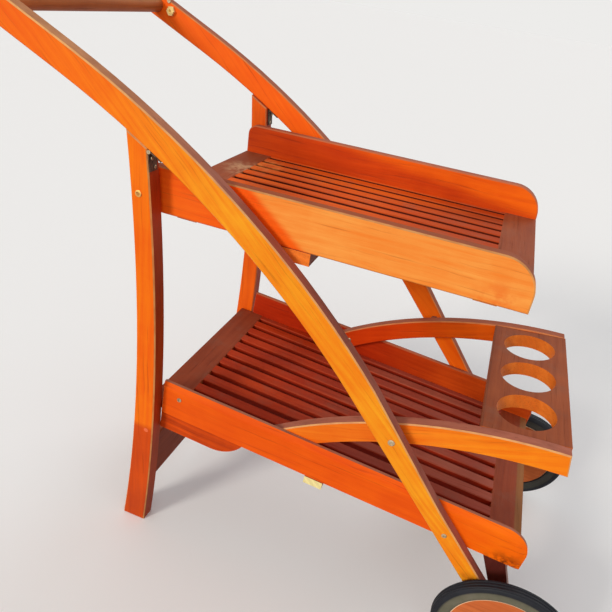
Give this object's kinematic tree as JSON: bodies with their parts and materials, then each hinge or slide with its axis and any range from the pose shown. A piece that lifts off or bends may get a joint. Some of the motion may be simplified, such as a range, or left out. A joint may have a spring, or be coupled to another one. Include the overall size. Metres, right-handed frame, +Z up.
{
  "type": "serving trolley",
  "caption": "Two-tier slatted hardwood garden serving trolley with a bottle rack, rolling on wheels at one end and standing on legs at the other.",
  "frame": {"origin": "on the floor, under the centre of the bounding box", "axes": "+X towards the wheels, +Y towards the far side of the picture, +Z up"},
  "size_m": [1.0963, 0.534, 0.9505],
  "materials": {
    "frame_wood": "oiled hardwood, satin",
    "board_wood": "oiled hardwood, satin",
    "deck_wood": "oiled hardwood, weathered",
    "handle_wood": "oiled hardwood, hand-worn",
    "disc_wood": "oiled hardwood, satin",
    "tyre_rubber": "black rubber",
    "spacer_steel": "plated steel",
    "hub_steel": "plated steel",
    "hardware_steel": "tarnished plated steel"
  },
  "bodies": {
    "frame": {"arm_spacers": "spacer_steel", "axle": "hardware_steel", "axle_nuts": "hardware_steel", "bearer_spacers": "spacer_steel", "far_axle_hanger": "board_wood", "far_corbel": "board_wood", "far_leg": "frame_wood", "far_rack_arm": "frame_wood", "far_rail": "frame_wood", "far_shelf_side": "board_wood", "far_tray_side": "board_wood", "handle": "handle_wood", "leg_hinges": "hardware_steel", "leg_stretcher": "board_wood", "near_axle_hanger": "board_wood", "near_corbel": "board_wood", "near_leg": "frame_wood", "near_rack_arm": "frame_wood", "near_rail": "frame_wood", "near_shelf_side": "board_wood", "near_tray_side": "board_wood", "rack_board": "board_wood", "shelf_battens": "deck_wood", "shelf_handle_end": "deck_wood", "shelf_slats": "deck_wood", "shelf_wheel_end": "deck_wood", "tray_battens": "deck_wood", "tray_bearer": "deck_wood", "tray_handle_end": "deck_wood", "tray_slats": "deck_wood", "tray_spacers": "spacer_steel", "tray_wheel_end": "deck_wood"},
    "near_wheel": {"near_tyre": "tyre_rubber", "near_wheel_disc": "disc_wood", "near_wheel_hub": "hub_steel"},
    "far_wheel": {"far_tyre": "tyre_rubber", "far_wheel_disc": "disc_wood", "far_wheel_hub": "hub_steel"}
  },
  "joints": [
    {"name": "near_wheel_spin", "type": "hinge", "parent": "frame", "child": "near_wheel", "pos_m": [0.434, -0.2405, 0.114], "axis": [0, 1, 0], "continuous": true},
    {"name": "far_wheel_spin", "type": "hinge", "parent": "frame", "child": "far_wheel", "pos_m": [0.434, 0.2405, 0.114], "axis": [0, 1, 0], "continuous": true}
  ]
}
